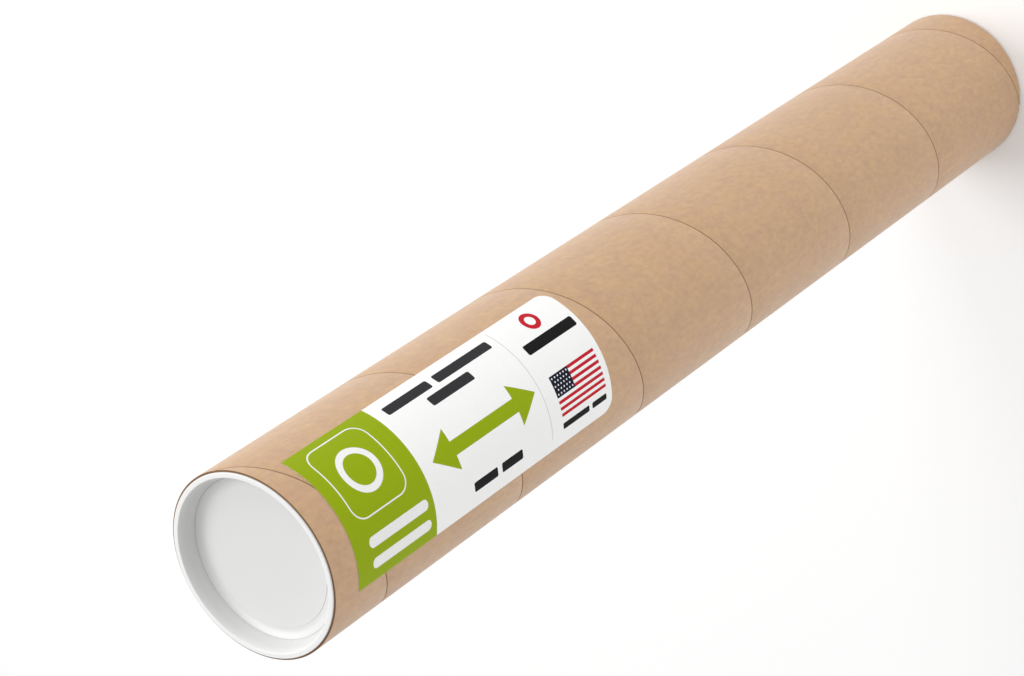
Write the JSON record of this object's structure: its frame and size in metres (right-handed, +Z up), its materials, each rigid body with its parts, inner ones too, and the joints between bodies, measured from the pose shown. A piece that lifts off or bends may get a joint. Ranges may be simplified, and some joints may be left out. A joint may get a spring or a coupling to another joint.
{
  "type": "cardboard mailing tube",
  "caption": "Round spiral-wound kraft board mailing tube standing on end, with a white push-in plastic plug in each end and a paper label.",
  "frame": {"origin": "centre of the lower plug's outer face, on which the tube stands", "axes": "+Z up the tube's axis to the plug beside the label's green end, -Y the side that the label faces, +X to its right as seen from the front"},
  "size_m": [0.1062, 0.1064, 0.764],
  "materials": {
    "kraft_board": "matte spiral-wound kraft board with a fine fibre grain",
    "white_plastic": "satin moulded white polyethylene",
    "label_paper": "coated white adhesive label paper with a green end"
  },
  "bodies": {
    "tube_body": {"tube": "kraft_board", "label": "label_paper"},
    "top_plug": {"top_cap": "white_plastic"},
    "bottom_plug": {"bottom_cap": "white_plastic"}
  },
  "joints": [
    {"name": "top_plug_pull", "type": "slide", "parent": "tube_body", "child": "top_plug", "axis": [0, 0, 1], "range_m": [0, 0.12]},
    {"name": "bottom_plug_pull", "type": "slide", "parent": "bottom_plug", "child": "tube_body", "axis": [0, 0, 1], "range_m": [0, 0.12]}
  ]
}
